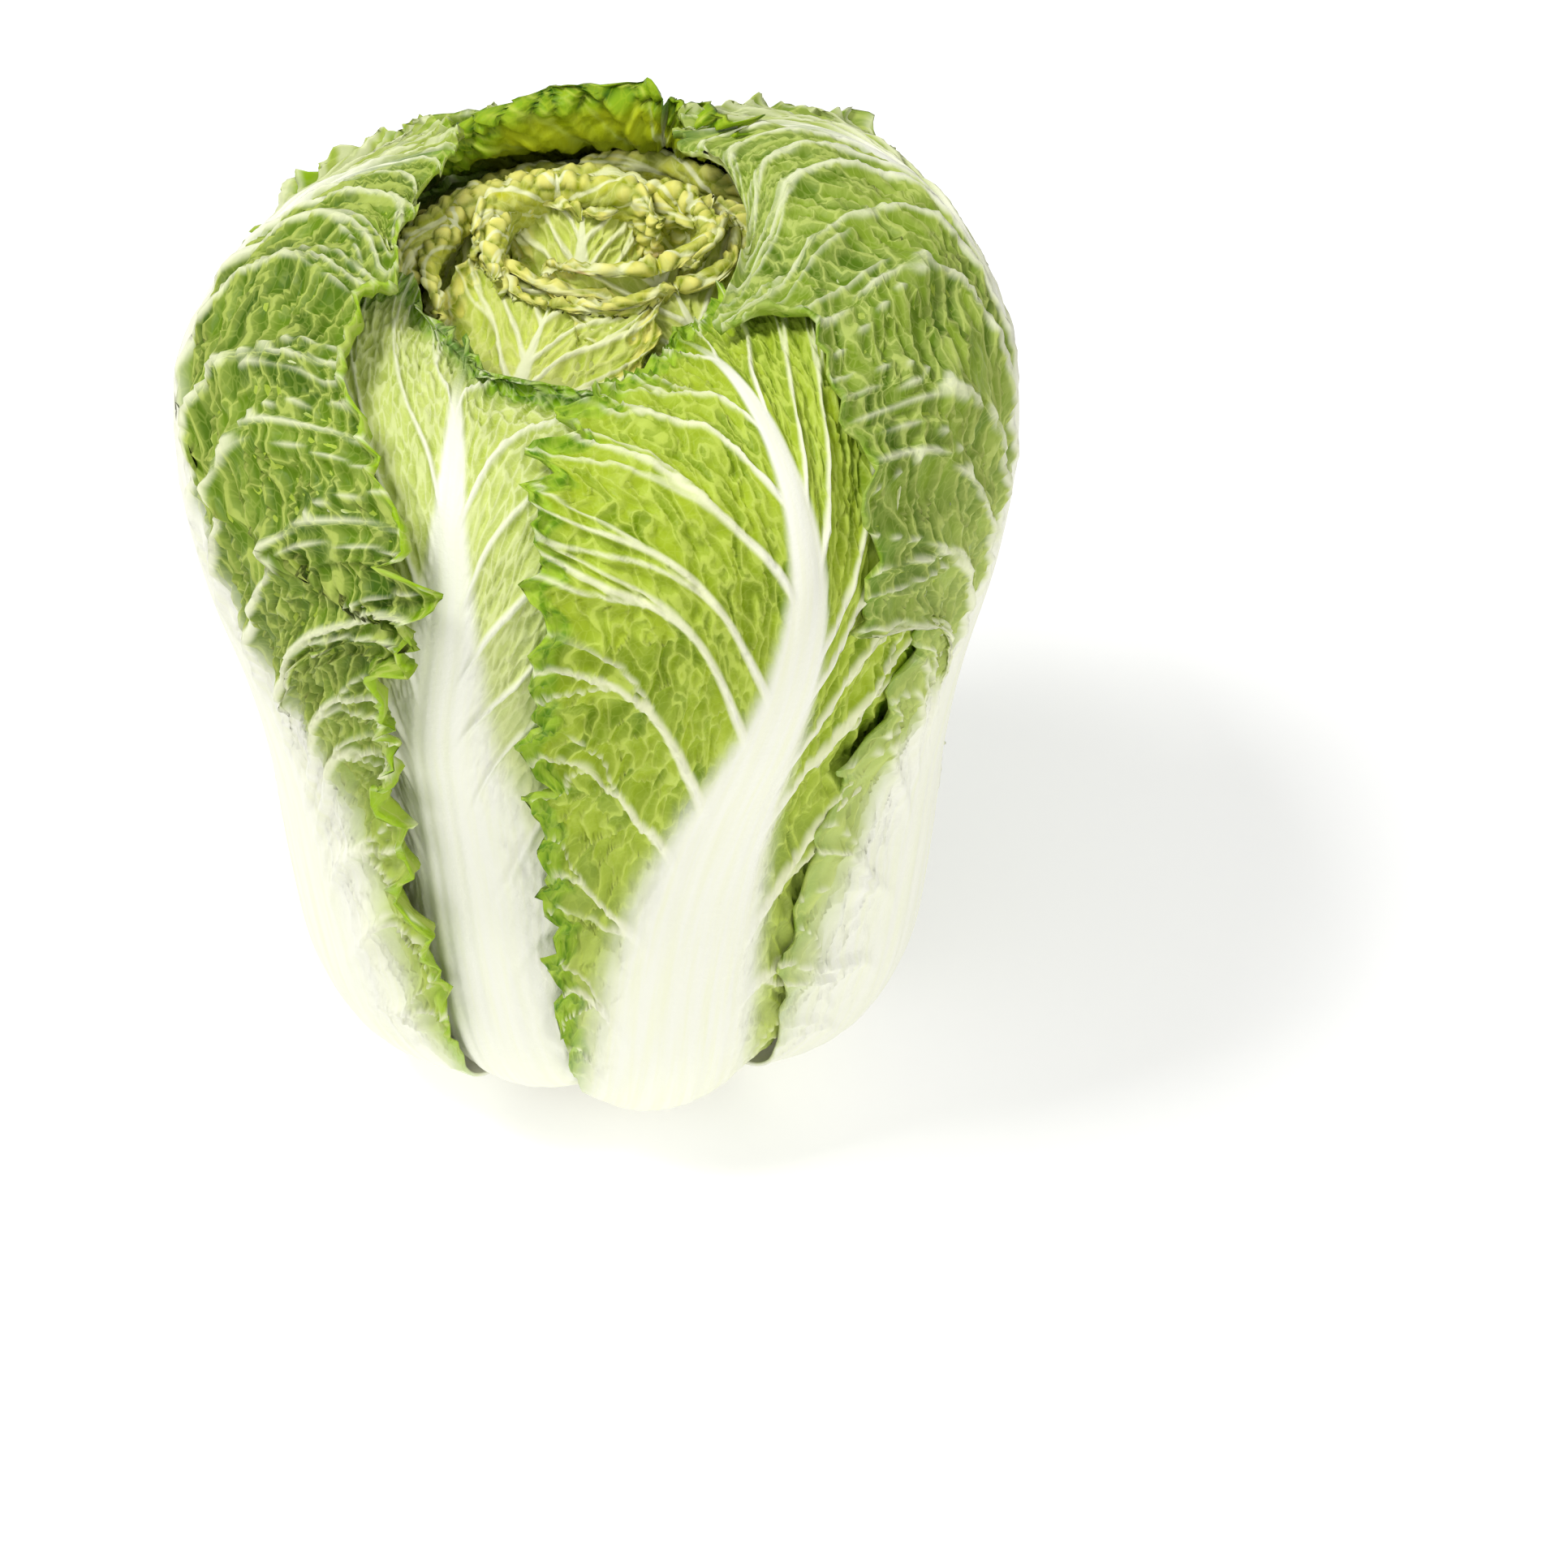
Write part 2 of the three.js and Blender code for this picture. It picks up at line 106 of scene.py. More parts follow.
# Leaves that wrap the head. azimuth, lean, inset, length, rib, left, right, outline and frill
# mean what they mean in the frame, but many of their values differ, and a margin ends at the
# leaf's tip. The others are the scene's own:
# - midrib: [share of the length, degrees] by which the midrib wanders from the frame's, between
#   margins that stay
# - wave: the length of the edge's waves; ruffle_width: how far in from the edge they reach
# - curl: how far the edge rolls outwards, in degrees, [left, right]; curl_width: over what
#   distance; calm: between which shares of the leaf curl and frill start, [left, right]
# - lip_start: how far along the leaf its tip starts to roll outwards
# - lobe, lobe_length, tooth, tip_lobe: the margin's lobes and teeth, and the tip's lobes
# - fold: how far the leaf swings in and out on its way round; round: wraps a plain circle
# - side_veins: how many would fit along the leaf; vein_width, vein_height: their half-width and
#   height at the midrib; stalk_share: the share of the leaf, from its base, that has none
# - cell: the size of the small veins' cells; relief: the depth of their blisters; edge_relief:
#   the share of it left at the edge; crumple: creases, against the relief
# - bubble, bubble_size: the height and size of round blisters; bubble_band: how far in from the
#   edge they reach; bubble_share: the share of them left beyond
# - stalk_width: [share of the length, factor] for the width of the stalk's white
# - edge_band: how far in from the edge the look of the margin reaches
# - rows and columns: the mesh's, both odd, so that halving keeps the rim; fine: the face that has
#   all of them, or both
WRAPPING_LEAVES = [
    dict(
        name="outer_leaf_left", azimuth=210, lean=-50, length=272,
        left=[[12, 0], [31, 42], [42, 92], [48, 146], [50, 196], [40, 232], [27, 252], [14, 266]],
        right=[[12, 0], [34, 44], [45, 92], [52, 142], [82, 190], [104, 226], [84, 256], [48, 282]],
        frill=[3.5, 3.5, 2.5], curl=[60, 130], curl_width=9, relief=3.4, bubble=1.2,
        stalk_width=[[0, 1.5], [0.4, 1.7], [0.6, 2.8], [0.75, 3.2], [1, 2]],
        side_veins=16, vein_width=2.6,
        midrib=[[0, 0], [0.7, 0], [0.8, -6], [0.88, -14], [0.95, -20], [1, -26]],
        material="dark_leaf", rows=231, columns=101,
    ),
    dict(
        name="outer_leaf_right", azimuth=-26, lean=68, length=276,
        left=[[12, 0], [31, 42], [42, 88], [42, 140], [50, 186], [84, 206], [90, 250], [64, 292]],
        right=[[12, 0], [31, 42], [42, 92], [54, 146], [60, 190], [56, 222], [34, 246], [14, 266]],
        frill=[3.5, 3.5, 2.5], curl=[50, 40], curl_width=7, relief=2.8,
        calm=[[0.42, 0.6], [0.05, 0.25]], side_veins=18, vein_width=2.6,
        stalk_width=[[0, 1.8], [0.45, 1.8], [0.9, 1.2], [1, 1.2]],
        midrib=[[0, 0], [0.6, 0], [0.78, 0], [0.88, 10], [0.95, 16], [1, 24]],
        material="grey_leaf", rows=231, columns=101,
    ),
    dict(
        name="outer_leaf_front_right", azimuth=-78, lean=34, inset=3.8, length=308, lip_start=302,
        left=[[10, 0], [21, 42], [28, 88], [33, 134], [44, 184], [50, 226], [49, 254], [30, 279]],
        right=[[12, 0], [31, 42], [45, 90], [55, 142], [58, 190], [54, 226], [46, 260], [30, 290]],
        frill=[2.5, 0.5, 2], curl=[50, 0], curl_width=7, relief=2.3, bubble=1.6, bubble_band=9,
        side_veins=12, vein_width=2.9,
        midrib=[[0, 0], [0.3, 2], [0.55, 8], [0.7, 8], [0.9, 3], [1, 9]],
        material="bright_leaf", rows=231, columns=91,
    ),
    dict(
        name="outer_leaf_back", azimuth=108, lean=-8, inset=3.8, length=240,
        left=[[12, 0], [31, 42], [46, 88], [60, 138], [72, 178], [74, 206], [62, 226], [36, 238]],
        right=[[12, 0], [31, 42], [46, 88], [60, 138], [74, 176], [80, 204], [64, 226], [36, 238]],
        frill=[2, 4, 2.5], curl=[30, 60], curl_width=12, relief=1.7,
        material="grey_leaf", rows=131, columns=57,
    ),
    dict(
        name="outer_leaf_front", azimuth=-112, lean=-6, inset=7.8, length=296, lip_start=288,
        left=[[12, 0], [31, 42], [38, 88], [44, 140], [52, 190], [56, 226], [54, 252], [42, 282]],
        right=[[12, 0], [31, 42], [42, 92], [54, 146], [62, 196], [64, 230], [56, 258], [42, 288]],
        frill=[0.3, 0.3, 4], curl=[60, 60], curl_width=7, calm=[[0.55, 0.7], [0.55, 0.7]],
        relief=1.2, side_veins=10, vein_width=3.0, edge_band=22, lobe=2.4, bubble=2.2, bubble_band=13,
        stalk_width=[[0, 1.6], [0.45, 1.6], [0.9, 1], [1, 1]],
        midrib=[[0, 0], [0.46, -4], [0.7, 3], [0.8, 3], [0.89, -2], [0.96, -14], [1, -26]],
        material="pale_leaf", rows=221, columns=81,
    ),
    dict(
        name="outer_leaf_back_left", azimuth=158, inset=7.8, length=262,
        left=[[12, 0], [31, 42], [44, 88], [52, 140], [58, 184], [58, 212], [50, 236], [32, 252]],
        right=[[12, 0], [31, 42], [44, 88], [50, 140], [54, 184], [54, 212], [46, 236], [30, 252]],
        frill=[0.5, 0.5, 2], relief=1.4, material="bright_leaf", rows=151, columns=61,
    ),
    dict(
        name="outer_leaf_under_right", azimuth=-32, lean=6, inset=9.1, length=268, rib=0.8,
        left=[[12, 0], [27, 42], [38, 88], [44, 138], [48, 184], [46, 218], [40, 242], [26, 260]],
        right=[[10, 0], [27, 42], [38, 88], [46, 138], [50, 184], [48, 218], [42, 242], [26, 260]],
        frill=[0.3, 0.3, 0.3], relief=1.2, material="bright_leaf", rows=121, columns=41,
    ),
    dict(
        name="standing_back_leaf", azimuth=80, lean=-8, length=255, rib=0.5,
        outline=STANDING_OUTLINE,
        left=[[10, 0], [25, 42], [36, 88], [50, 140], [52, 182], [36, 208], [24, 228], [24, 246]],
        right=[[10, 0], [25, 42], [36, 88], [50, 140], [60, 182], [62, 210], [60, 230], [50, 250]],
        frill=[4, 6, 7], curl=[0, 60], curl_width=9, relief=2.4, wave=12, ruffle_width=24,
        edge_relief=0.9, lobe=3.5, lobe_length=16, stalk_share=0, side_veins=14, tip_lobe=-4.5,
        edge_band=16, tooth=0.2, bubble=3.4, bubble_size=7, bubble_band=16, bubble_share=0.4,
        material="standing_leaf", rows=151, columns=65, fine="both",
    ),
]

# The leaves under those, in two nested rings of three.
INNER_MARGIN = [
    [10, 0], [27, 0.13], [40, 0.34], [48, 0.52], [53, 0.7], [53, 0.82], [46, 0.92], [30, 0.98],
]
INNER_LEAVES = [
    dict(azimuth=24, inset=13, length=262),
    dict(azimuth=127, inset=14.2, length=234),
    dict(azimuth=-80, inset=13, length=266),
    dict(azimuth=85, inset=17.8, length=244),
    dict(azimuth=200, inset=17.8, length=262),
    dict(azimuth=-37, inset=18.3, length=266),
]

# The heart's leaves: azimuth; the upright line that the leaf wraps round, [x, y]; half its width;
# the size of its rolled edge; the depth of its blisters; its midrib, [distance from that line,
# height], before the rolled edge. Those in front show their outer face, and the others their
# inner face.
HEART_FRONT = [
    (-112, [0, 24], 27, 0.4, 2.2, [[60, 180], [57, 190], [51, 200], [41, 209], [26, 216]]),
    (-142, [5, 34], 32, 0.5, 2.2, [[50, 180], [48, 193], [43, 203], [37, 210], [31, 215]]),
    (-58, [2, 30], 27, 0.6, 1.2, [[52, 180], [49, 193], [44, 203], [37, 211], [30, 216]]),
    (-66, [2, 34], 25, 0.7, 1.2, [[42, 190], [39, 198], [36, 205], [32, 212], [27, 219]]),
    (-92, [-3, 38], 18, 0.5, 2.2, [[29, 190], [26, 198], [21, 206], [15, 213], [9, 218]]),
]
HEART_REST = [
    (136, [0, 0], 44, 0.7, 1.2, [[49, 186], [49, 193], [49, 200], [49, 206], [48, 212]]),
    (48, [0, 0], 42, 0.7, 1.2, [[51, 186], [51, 194], [51, 201], [51, 208], [50, 214]]),
    (112, [-7, 5], 44, 0.8, 1.2, [[37, 192], [37, 199], [36, 206], [35, 212], [33, 217]]),
    (150, [-5, 8], 30, 0.7, 1.2, [[33, 194], [33, 200], [33, 206], [32, 212], [30, 217]]),
    (2, [0, 4], 34, 0.8, 1.2, [[44, 190], [44, 197], [44, 204], [42, 210], [39, 215]]),
    (186, [0, 4], 32, 0.8, 1.2, [[47, 188], [47, 195], [47, 202], [45, 208], [42, 213]]),
    (98, [-6, 12], 27, 0.8, 1.2, [[23, 194], [23, 202], [22, 209], [21, 215], [20, 221]]),
    (160, [-6, 17], 18, 0.8, 1.2, [[18, 194], [18, 201], [18, 208], [17, 213], [16, 218]]),
    (40, [12, 21], 22, 0.7, 1.2, [[10, 194], [10, 201], [10, 208], [11, 214], [12, 219]]),
]
# The rolled edge at a heart leaf's tip: [outwards, up] from the end of its path.
LIP = [[-0.5, 2.5], [1, 5], [4, 5.6], [6, 3.6]]
# A heart leaf's margin, short of its tip: [share of its half width, share of its length].
HEART_MARGIN = [[0.75, 0], [0.85, 0.3], [0.95, 0.52], [1, 0.7], [0.98, 0.86], [0.85, 0.97]]
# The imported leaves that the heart's leaves stand out of, smaller than the frame's.
HEART_OUTLINE = [
    [24, 100], [48, 130], [55, 160], [56, 185], [48, 200], [34, 206], [16, 209], [0, 210],
]

STEM_OUTLINE = [[0, 0], [27, 0], [28, 1], [28, 11], [24, 24], [16, 48], [6, 69], [0, 71]]


# ---- Lines and noise -----------------------------------------------------------------------

def smooth(value, low, high):
    """0 below low, 1 above high, and a soft slope between."""
    share = np.clip((value - low) / (high - low), 0, 1)
    return share * share * (3 - 2 * share)


def line_at(points, share):
    """The places at share 0 to 1 along a smooth line through points."""
    points = np.array(points, float)
    spans = len(points) - 1
    place = np.clip(share, 0, 1) * spans
    first = np.minimum(place.astype(int), spans - 1)
    u = (place - first)[..., None]
    ends = np.vstack([2 * points[0] - points[1], points, 2 * points[-1] - points[-2]])
    before, start, end, after = (ends[first + i] for i in range(4))
    leave, arrive = (end - before) / 2, (after - start) / 2
    return (
        (2 * start - 2 * end + leave + arrive) * u**3
        + (3 * end - 3 * start - 2 * leave - arrive) * u**2
        + leave * u
        + start
    )


class Walk:
    """An outline by the distance along it: radius, height and outward normal."""

    def __init__(self, outline, samples=1500, beyond=60):
        line = line_at(outline, np.linspace(0, 1, samples))
        last = line[-1] - line[-2]
        line = np.vstack([line, line[-1] + last / np.linalg.norm(last) * beyond])
        steps = np.diff(line, axis=0)
        lengths = np.linalg.norm(steps, axis=1)
        self.distance = np.concatenate([[0], np.cumsum(lengths)])
        self.line = line
        self.heading = steps / lengths[:, None]
        self.middle = (self.distance[1:] + self.distance[:-1]) / 2

    def at(self, distance):
        radius = np.interp(distance, self.distance, self.line[:, 0])
        height = np.interp(distance, self.distance, self.line[:, 1])
        out = np.interp(distance, self.middle, self.heading[:, 1])
        up = -np.interp(distance, self.middle, self.heading[:, 0])
        size = np.hypot(out, up)
        return radius, height, out / size, up / size


def waves_added(places, rng):
    """The sum of waves by their places in wavelengths, between about -1 and 1."""
    waves = [np.sin(2 * math.pi * (place + rng.uniform())) for place in places]
    return sum(waves) / math.sqrt(len(waves)) / 1.3


def ripple(distance, wavelength, rng):
    """Uneven waves of about that length."""
    return waves_added((distance / (wavelength * rng.uniform(0.7, 1.45)) for _ in range(4)), rng)


def mottle(x, y, size, rng):
    """Uneven blotches of about that size."""
    turns = (rng.uniform(0, math.pi) for _ in range(6))
    places = (
        (x * math.cos(turn) + y * math.sin(turn)) / (size * rng.uniform(0.7, 1.5)) for turn in turns
    )
    return waves_added(places, rng)


def bubbles(x, y, size, rng):
    """Round blisters of about that size that fill a flat sheet: their height, 0 to 1."""
    places = rng.uniform(0.1, 0.9, (64, 64, 2))
    column, line = np.floor(x / size), np.floor(y / size)
    nearest, second = np.full(x.shape, 9.0), np.full(x.shape, 9.0)
    for step in np.ndindex(3, 3):
        a, b = column + step[0] - 1, line + step[1] - 1
        place = places[a.astype(int) % 64, b.astype(int) % 64]
        away = np.hypot(x / size - a - place[..., 0], y / size - b - place[..., 1])
        second = np.minimum(second, np.maximum(nearest, away))
        nearest = np.minimum(nearest, away)
    return np.sqrt(np.clip((second - nearest) / BUBBLE_SLOPE, 0, 1))


# ---- Leaves --------------------------------------------------------------------------------

def side_veins(leaf, out, rng):
    """One side's main side veins and their forks: (row, half-width) at every out for each."""
    mains, forks, count = [], [], leaf["side_veins"]
    for k in range(1, count):
        start = (k + rng.uniform(-0.2, 0.2)) / count
        wobble = 0.08 / count * np.sin(2 * math.pi * (out * rng.uniform(1, 1.8) + rng.uniform()))
        row = start + wobble * smooth(out, 0, 0.3)
        width = leaf["vein_width"] * rng.uniform(0.8, 1.15)
        width = width * (1 - 0.66 * out**0.8) * (1 - 0.6 * start)
        mains.append((row, width))
        for side in (-1, 1):
            fork_at = rng.uniform(0.4, 0.8)
            spread = rng.uniform(0.25, 0.42) / count
            after = np.clip((out - fork_at) / (1 - fork_at), 0, 1)
            fork_row = np.where(out >= fork_at, row + side * spread * after**0.8, np.nan)
            forks.append((fork_row, 0.62 * width))
    return mains, forks


def row_gap(base, rows):
    """How far apart rows are at every point, in millimetres for each whole step of row."""
    ahead = np.gradient(base, axis=1)
    ahead = ahead / np.maximum(np.linalg.norm(ahead, axis=2, keepdims=True), 1e-6)
    step = np.gradient(base, axis=0)
    across_rows = step - ahead * np.sum(step * ahead, axis=2, keepdims=True)
    return np.linalg.norm(across_rows, axis=2) / np.gradient(rows)[:, None]


def small_cells(row, walked, gap, mains, leaf, rng):
    """Rows of six-sided cells, made by the small veins between two side veins.

    lane: a count across the band between two side veins, whole where two lanes of cells meet;
    width: a lane's width; rung: a count along the band, whole where two cells of a lane meet."""
    step, count = leaf["cell"], leaf["side_veins"]
    rows = np.array([main[0] for main in mains])
    rows = np.vstack([rows[0] - 1 / count, rows, rows[-1] + 1 / count])
    index = np.clip((row[None] >= rows[:, None, :]).sum(axis=0), 1, len(rows) - 1)
    column = np.arange(row.shape[1])[None, :] + 0 * index
    low, high = rows[index - 1, column], rows[index, column]
    lanes = max(2, round(leaf["length"] * ROW_SLANT / count / step))
    width = (high - low) * gap / lanes
    x, y = walked, row * leaf["length"] * ROW_SLANT
    lane = np.clip((row - low) / (high - low), 0, 1) * lanes
    inside = np.minimum(lane, lanes - lane)
    bend = 0.3 * mottle(x, y, 11, rng) + 0.15 * mottle(x, y, 5, rng)
    lane = lane + bend * np.minimum(inside * 2, 1)
    rung = walked / step + rng.uniform(0, 2, len(rows) + 1)[index]
    rung = rung + 0.45 * mottle(x, y, 13, rng) + 0.2 * mottle(x, y, 6, rng)

    meet = np.round(lane)
    edge = meet + CELL_PEAK * (4 * swing(rung + 0.5 * ((meet - 1) % 2)) - 1)
    own = meet - (lane < edge)
    phase = rung + 0.5 * (own % 2)
    border = np.minimum(swing(phase) * step, np.abs(lane - edge) * width)
    band_pull, lane_pull, rung_pull = CELL_PULL
    number = index * band_pull + own * lane_pull + np.floor(phase) * rung_pull
    number = number.astype(int) % CELL_KINDS
    return dict(lane=lane, width=width, rung=rung, border=border, number=number)


def swing(value):
    """How far a value is from the nearest whole number."""
    return np.abs(value - np.round(value))


def risen(row):
    """Where along the margin a row ends."""
    return row + ROW_RISE * row * (1 - row)


def row_places(count):
    """Rows spaced so that neither the midrib's steps nor the margin's get long."""
    row = np.linspace(0, LAST_ROW, 400)
    spread = (row + risen(row)) / 2
    return np.interp(np.linspace(0, spread[-1], count), spread, row)


def column_places(count):
    """Columns from midrib to margin, closer near the margin."""
    step = np.linspace(0, 1, count)
    return step * (1 + COLUMN_CROWDING * (1 - step))


def flattened(angle, height):
    """What the head's radius is multiplied by, at an angle and a height."""
    azimuth = np.degrees(angle) % 360
    start, full, fading, end = BACK_AZIMUTHS
    behind = smooth(azimuth, start, full) * (1 - smooth(azimuth, fading, end))
    return 1 - BACK_FLATNESS * behind * smooth(height, *BACK_HEIGHTS)


def value_at(points, share):
    """A smooth line through [share, value] points."""
    line = line_at(points, np.linspace(0, 1, 300))
    return np.interp(share, line[:, 0], line[:, 1])


def midrib_shift(leaf, walk, along):
    """How far the midrib's wandering would move the margin sideways at a distance along."""
    share = along / leaf["length"]
    held = 1 - smooth(share, *MIDRIB_FREE)
    return np.radians(value_at(leaf["midrib"], share)) * walk.at(along)[0] * held


def flat_places(leaf, walk, side, row, out, run, rng, twin):
    """How far across and along the flat leaf the points lie, from its midrib to its margin."""
    margin = [*leaf["left" if side < 0 else "right"], [0, leaf["length"]]]
    margin = line_at(margin, risen(row))
    reach = margin[..., 0] - side * midrib_shift(leaf, walk, margin[..., 1])
    # The margin is lobed and toothed, away from the base and the tip.
    free = smooth(row, 0.06, 0.2) * (1 - smooth(row, 0.9, 0.97))
    lobes = leaf["lobe"] * ripple(run, leaf["lobe_length"], rng)
    lobes = lobes + 0.35 * leaf["lobe"] * ripple(run, leaf["lobe_length"] / 2.2, rng)
    lobes = lobes + leaf["tooth"] * ripple(run, TOOTH_LENGTH, rng)
    across = np.maximum(reach, 0) * (2 * out * (1 - out) * ROW_SPREAD + out**2)
    across = across + out**4 * lobes * free
    start = leaf["length"] * row
    along = start + (margin[..., 1] - start) * (2 * out * (1 - out) * ROW_LEAN + out**2)
    tip_lobes = ripple(side * across, TIP_LOBE_LENGTH, np.random.default_rng(twin))
    return across, along + leaf["tip_lobe"] * smooth(row, 0.84, 1) * tip_lobes


def lay_on_head(leaf, walk, side, across, along, twin):
    """The same points on the head's outline, and the outward normals there."""
    share = along / leaf["length"]
    radius, height, out, up = walk.at(np.minimum(along, leaf["lip_start"]))
    turned = leaf["lean"] * share**LEAN_POWER + value_at(leaf["midrib"], share)
    angle = np.radians(leaf["azimuth"] + turned) + side * across / radius
    # The tip's edge rolls outwards.
    roll = np.maximum(along - leaf["lip_start"], 0) / LIP_RADIUS
    onward, outward = LIP_RADIUS * np.sin(roll), LIP_RADIUS * (1 - np.cos(roll)) - leaf["inset"]
    far = radius - up * onward + out * outward
    high = height + out * onward + up * outward
    out, up = out * np.cos(roll) + up * np.sin(roll), up * np.cos(roll) - out * np.sin(roll)
    folds = ripple(side * across, FOLD_LENGTH, np.random.default_rng(twin + FOLD_SEED))
    far = far + leaf["fold"] * folds * smooth(share, 0.3, 0.9)
    if not leaf["round"]:
        far = far * flattened(angle, height)
    cos, sin = np.cos(angle), np.sin(angle)
    base = np.stack([far * cos, far * sin, high], axis=-1)
    return base, np.stack([out * cos, out * sin, up], axis=-1)


def distance_from_midrib(base):
    """How far every point is from the midrib, along its row."""
    steps = np.linalg.norm(np.diff(base, axis=1), axis=2)
    return np.concatenate([np.zeros((len(base), 1)), np.cumsum(steps, axis=1)], axis=1)


def roll_edge(leaf, side, row, run, lively, base, normal, walked, rng):
    """The points and normals with the leaf's edge rolled outwards, more in some stretches."""
    uneven = 0.6 + 0.7 * ripple(run, CURL_LENGTH, rng)
    curl = math.radians(leaf["curl"][side > 0])
    if not curl:
        return base, normal
    rolled = smooth(1 - (walked[:, -1:] - walked) / leaf["curl_width"], 0, 1.1)
    turn = curl * rolled * np.clip(uneven, 0, 1.3) * lively * (1 - smooth(row, 0.8, 0.95))
    steps = np.diff(base, axis=1)
    step_lengths = np.linalg.norm(steps, axis=2)[..., None]
    ahead = steps / np.maximum(step_lengths, 1e-9)
    facing = (normal[:, 1:] + normal[:, :-1]) / 2
    turn_between = ((turn[:, 1:] + turn[:, :-1]) / 2)[..., None]
    turned_steps = (ahead * np.cos(turn_between) + facing * np.sin(turn_between)) * step_lengths
    moved = np.cumsum(turned_steps - steps, axis=1)
    base = base + np.concatenate([np.zeros((len(base), 1, 3)), moved], axis=1)
    outward = np.concatenate([ahead, ahead[:, -1:]], axis=1)
    return base, normal * np.cos(turn)[..., None] - outward * np.sin(turn)[..., None]


def raised_veins(leaf, row, gap, veins):
    """The side veins' height at every point, 0 to 1, and its distance from the nearest one."""
    vein, valley = np.zeros_like(row), np.full_like(row, NOWHERE)
    crowded = np.clip(gap / (CROWDED_GAP * leaf["length"]), 0.25, 1)
    for vein_row, vein_width in veins:
        distance = np.abs(row - vein_row[None, :]) * gap
        ridge = np.clip(1 - (distance / (crowded * (vein_width[None, :] + 0.5))) ** 2, 0, 1) ** 1.5
        strength = 0.35 + 0.65 * vein_width[None, :] / leaf["vein_width"]
        vein = np.maximum(vein, np.nan_to_num(ridge) * strength)
        valley = np.minimum(valley, np.where(np.isnan(distance), NOWHERE, distance))
    return vein, valley


def rib_form(leaf, side, across, along):
    """The midrib's height, and as shares: the midrib, the blade beside it and the white stalk."""
    share = along / leaf["length"]
    taper = 1 + (RIB_TIP_SHARE - 1) * smooth(share, 0.1, 1)
    half_width = RIB_HALF_WIDTH * leaf["rib"] * taper
    rib_share = np.clip(1 - (across / half_width) ** 2, 0, 1) ** 2
    grooves = 0.35 * np.cos(2 * math.pi * across / STRAND_WIDTH + 0.6 * side) * smooth(across, 1, 4)
    rib = RIB_THICKNESS * leaf["rib"] * taper * rib_share * smooth(along, -20, 40)
    rib = rib + grooves * rib_share * smooth(along, 10, 60)
    beside_rib = smooth(across / half_width, 0.35, 0.95)
    white_width = half_width * value_at(leaf["stalk_width"], share)
    stalk = (1 - smooth(across / white_width, 0.35, 1.2)) * (1 - 0.8 * smooth(share, 0.85, 1))
    return rib, rib_share, beside_rib, stalk


def edge_waves(leaf, side, row, run, lively, rng):
    """How far the free edge waves out, and is tucked in where it is calm."""
    frill = leaf["frill"][side > 0]
    frill = frill + (leaf["frill"][2] - frill) * smooth(row, 0.8, 0.92)
    wave = 0.55 + 0.6 * ripple(run, leaf["wave"], rng) + 0.3 * ripple(run, leaf["wave"] / 2.6, rng)
    return frill * wave * lively - TUCK * (1 - lively)


def round_blisters(leaf, side, across, along, to_margin, twin):
    """The round blisters along the edge: their form, 0 to 1, and how strong they are."""
    rng = np.random.default_rng(twin + BUBBLE_SEED)
    puff = bubbles(side * across, along, leaf["bubble_size"], rng)
    band = smooth(1 - to_margin / leaf["bubble_band"], 0, 0.6)
    return puff, np.maximum(band, leaf["bubble_share"])


